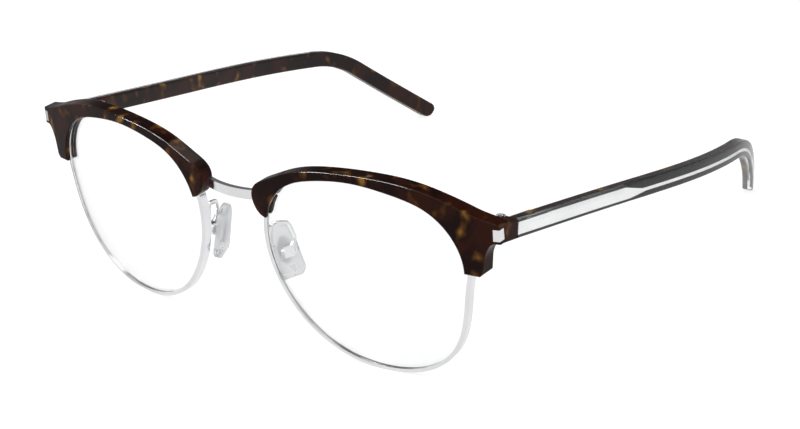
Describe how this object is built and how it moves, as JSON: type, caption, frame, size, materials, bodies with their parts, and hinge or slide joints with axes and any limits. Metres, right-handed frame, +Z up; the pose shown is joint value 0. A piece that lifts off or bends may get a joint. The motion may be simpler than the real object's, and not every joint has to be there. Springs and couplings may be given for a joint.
{
  "type": "eyeglasses",
  "caption": "Half rim eyeglasses: acetate brow pieces over metal rims, with folding layered temples and rocking nose pads.",
  "frame": {"origin": "bottom centre of the bounding box, on the surface that the open glasses stand on", "axes": "+Z up; the wearer faces -Y, the temples run back towards +Y, and the wearer's left is +X"},
  "size_m": [0.145, 0.1416, 0.0484],
  "materials": {
    "brow_acetate": "polished dark tortoiseshell acetate",
    "temple_acetate": "polished dark tortoiseshell acetate",
    "clear_acetate": "polished clear acetate",
    "core_metal": "satin nickel silver",
    "lens": "clear demonstration lens",
    "frame_metal": "polished silver plating",
    "plate_metal": "polished silver plating",
    "fitting_metal": "satin",
    "screw_metal": "turned",
    "pad_silicone": "clear soft silicone"
  },
  "bodies": {
    "front": {"bridge": "frame_metal", "brow_left": "brow_acetate", "brow_right": "brow_acetate", "brow_screws_left": "screw_metal", "brow_screws_right": "screw_metal", "corner_plate_left": "plate_metal", "corner_plate_right": "plate_metal", "hinge_front_left": "fitting_metal", "hinge_front_right": "fitting_metal", "hinge_screw_left": "screw_metal", "hinge_screw_right": "screw_metal", "lens_left": "lens", "lens_right": "lens", "pad_arm_left": "frame_metal", "pad_arm_right": "frame_metal", "pad_box_left": "frame_metal", "pad_box_right": "frame_metal", "pad_screw_left": "screw_metal", "pad_screw_right": "screw_metal", "rim_left": "frame_metal", "rim_lock_screw_left": "screw_metal", "rim_lock_screw_right": "screw_metal", "rim_right": "frame_metal"},
    "temple_left": {"temple_inner_left": "temple_acetate", "temple_outer_left": "clear_acetate", "temple_core_left": "core_metal", "hinge_temple_left": "fitting_metal"},
    "nose_pad_left": {"nose_pad_left": "pad_silicone", "pad_insert_left": "fitting_metal"},
    "temple_right": {"temple_inner_right": "temple_acetate", "temple_outer_right": "clear_acetate", "temple_core_right": "core_metal", "hinge_temple_right": "fitting_metal"},
    "nose_pad_right": {"nose_pad_right": "pad_silicone", "pad_insert_right": "fitting_metal"}
  },
  "joints": [
    {"name": "temple_left_fold", "type": "hinge", "parent": "front", "child": "temple_left", "pos_m": [0.0654, -0.05566, 0.03863], "axis": [0, 0.1461, 0.9893], "range_deg": [0, 85]},
    {"name": "temple_right_fold", "type": "hinge", "parent": "front", "child": "temple_right", "pos_m": [-0.0654, -0.05566, 0.03863], "axis": [0, -0.1461, -0.9893], "range_deg": [0, 71]},
    {"name": "nose_pad_left_rock", "type": "hinge", "parent": "front", "child": "nose_pad_left", "pos_m": [0.01169, -0.06397, 0.02309], "axis": [0.4226, 0.9045, 0.0569], "range_deg": [-8, 8]},
    {"name": "nose_pad_right_rock", "type": "hinge", "parent": "front", "child": "nose_pad_right", "pos_m": [-0.01169, -0.06397, 0.02309], "axis": [-0.4226, 0.9045, 0.0569], "range_deg": [-8, 8]}
  ]
}
